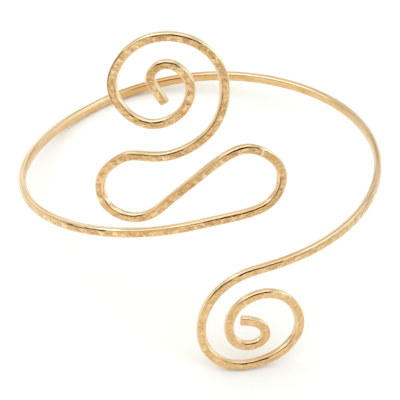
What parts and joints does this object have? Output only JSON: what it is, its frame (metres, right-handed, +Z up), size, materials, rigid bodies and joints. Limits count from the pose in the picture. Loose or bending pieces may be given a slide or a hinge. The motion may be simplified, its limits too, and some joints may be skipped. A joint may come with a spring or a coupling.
{
  "type": "open upper-arm cuff of hammered wire",
  "caption": "Open cuff of hammered wire that winds round the upper arm, with a scroll and loops above the turn and a smaller scroll below it.",
  "frame": {"origin": "middle of the bounding box, at the height of the floor that the cuff stands on by itself", "axes": "+Z up from that floor, -Y towards the viewer, where the scrolls are, +X to the viewer's right"},
  "size_m": [0.0894, 0.0946, 0.0887],
  "materials": {
    "gilt_brass": "polished brass wire with a pale gold plating, its outer face hammered in small facets"
  },
  "bodies": {
    "root": {"armlet_wire": "gilt_brass"}
  },
  "joints": []
}
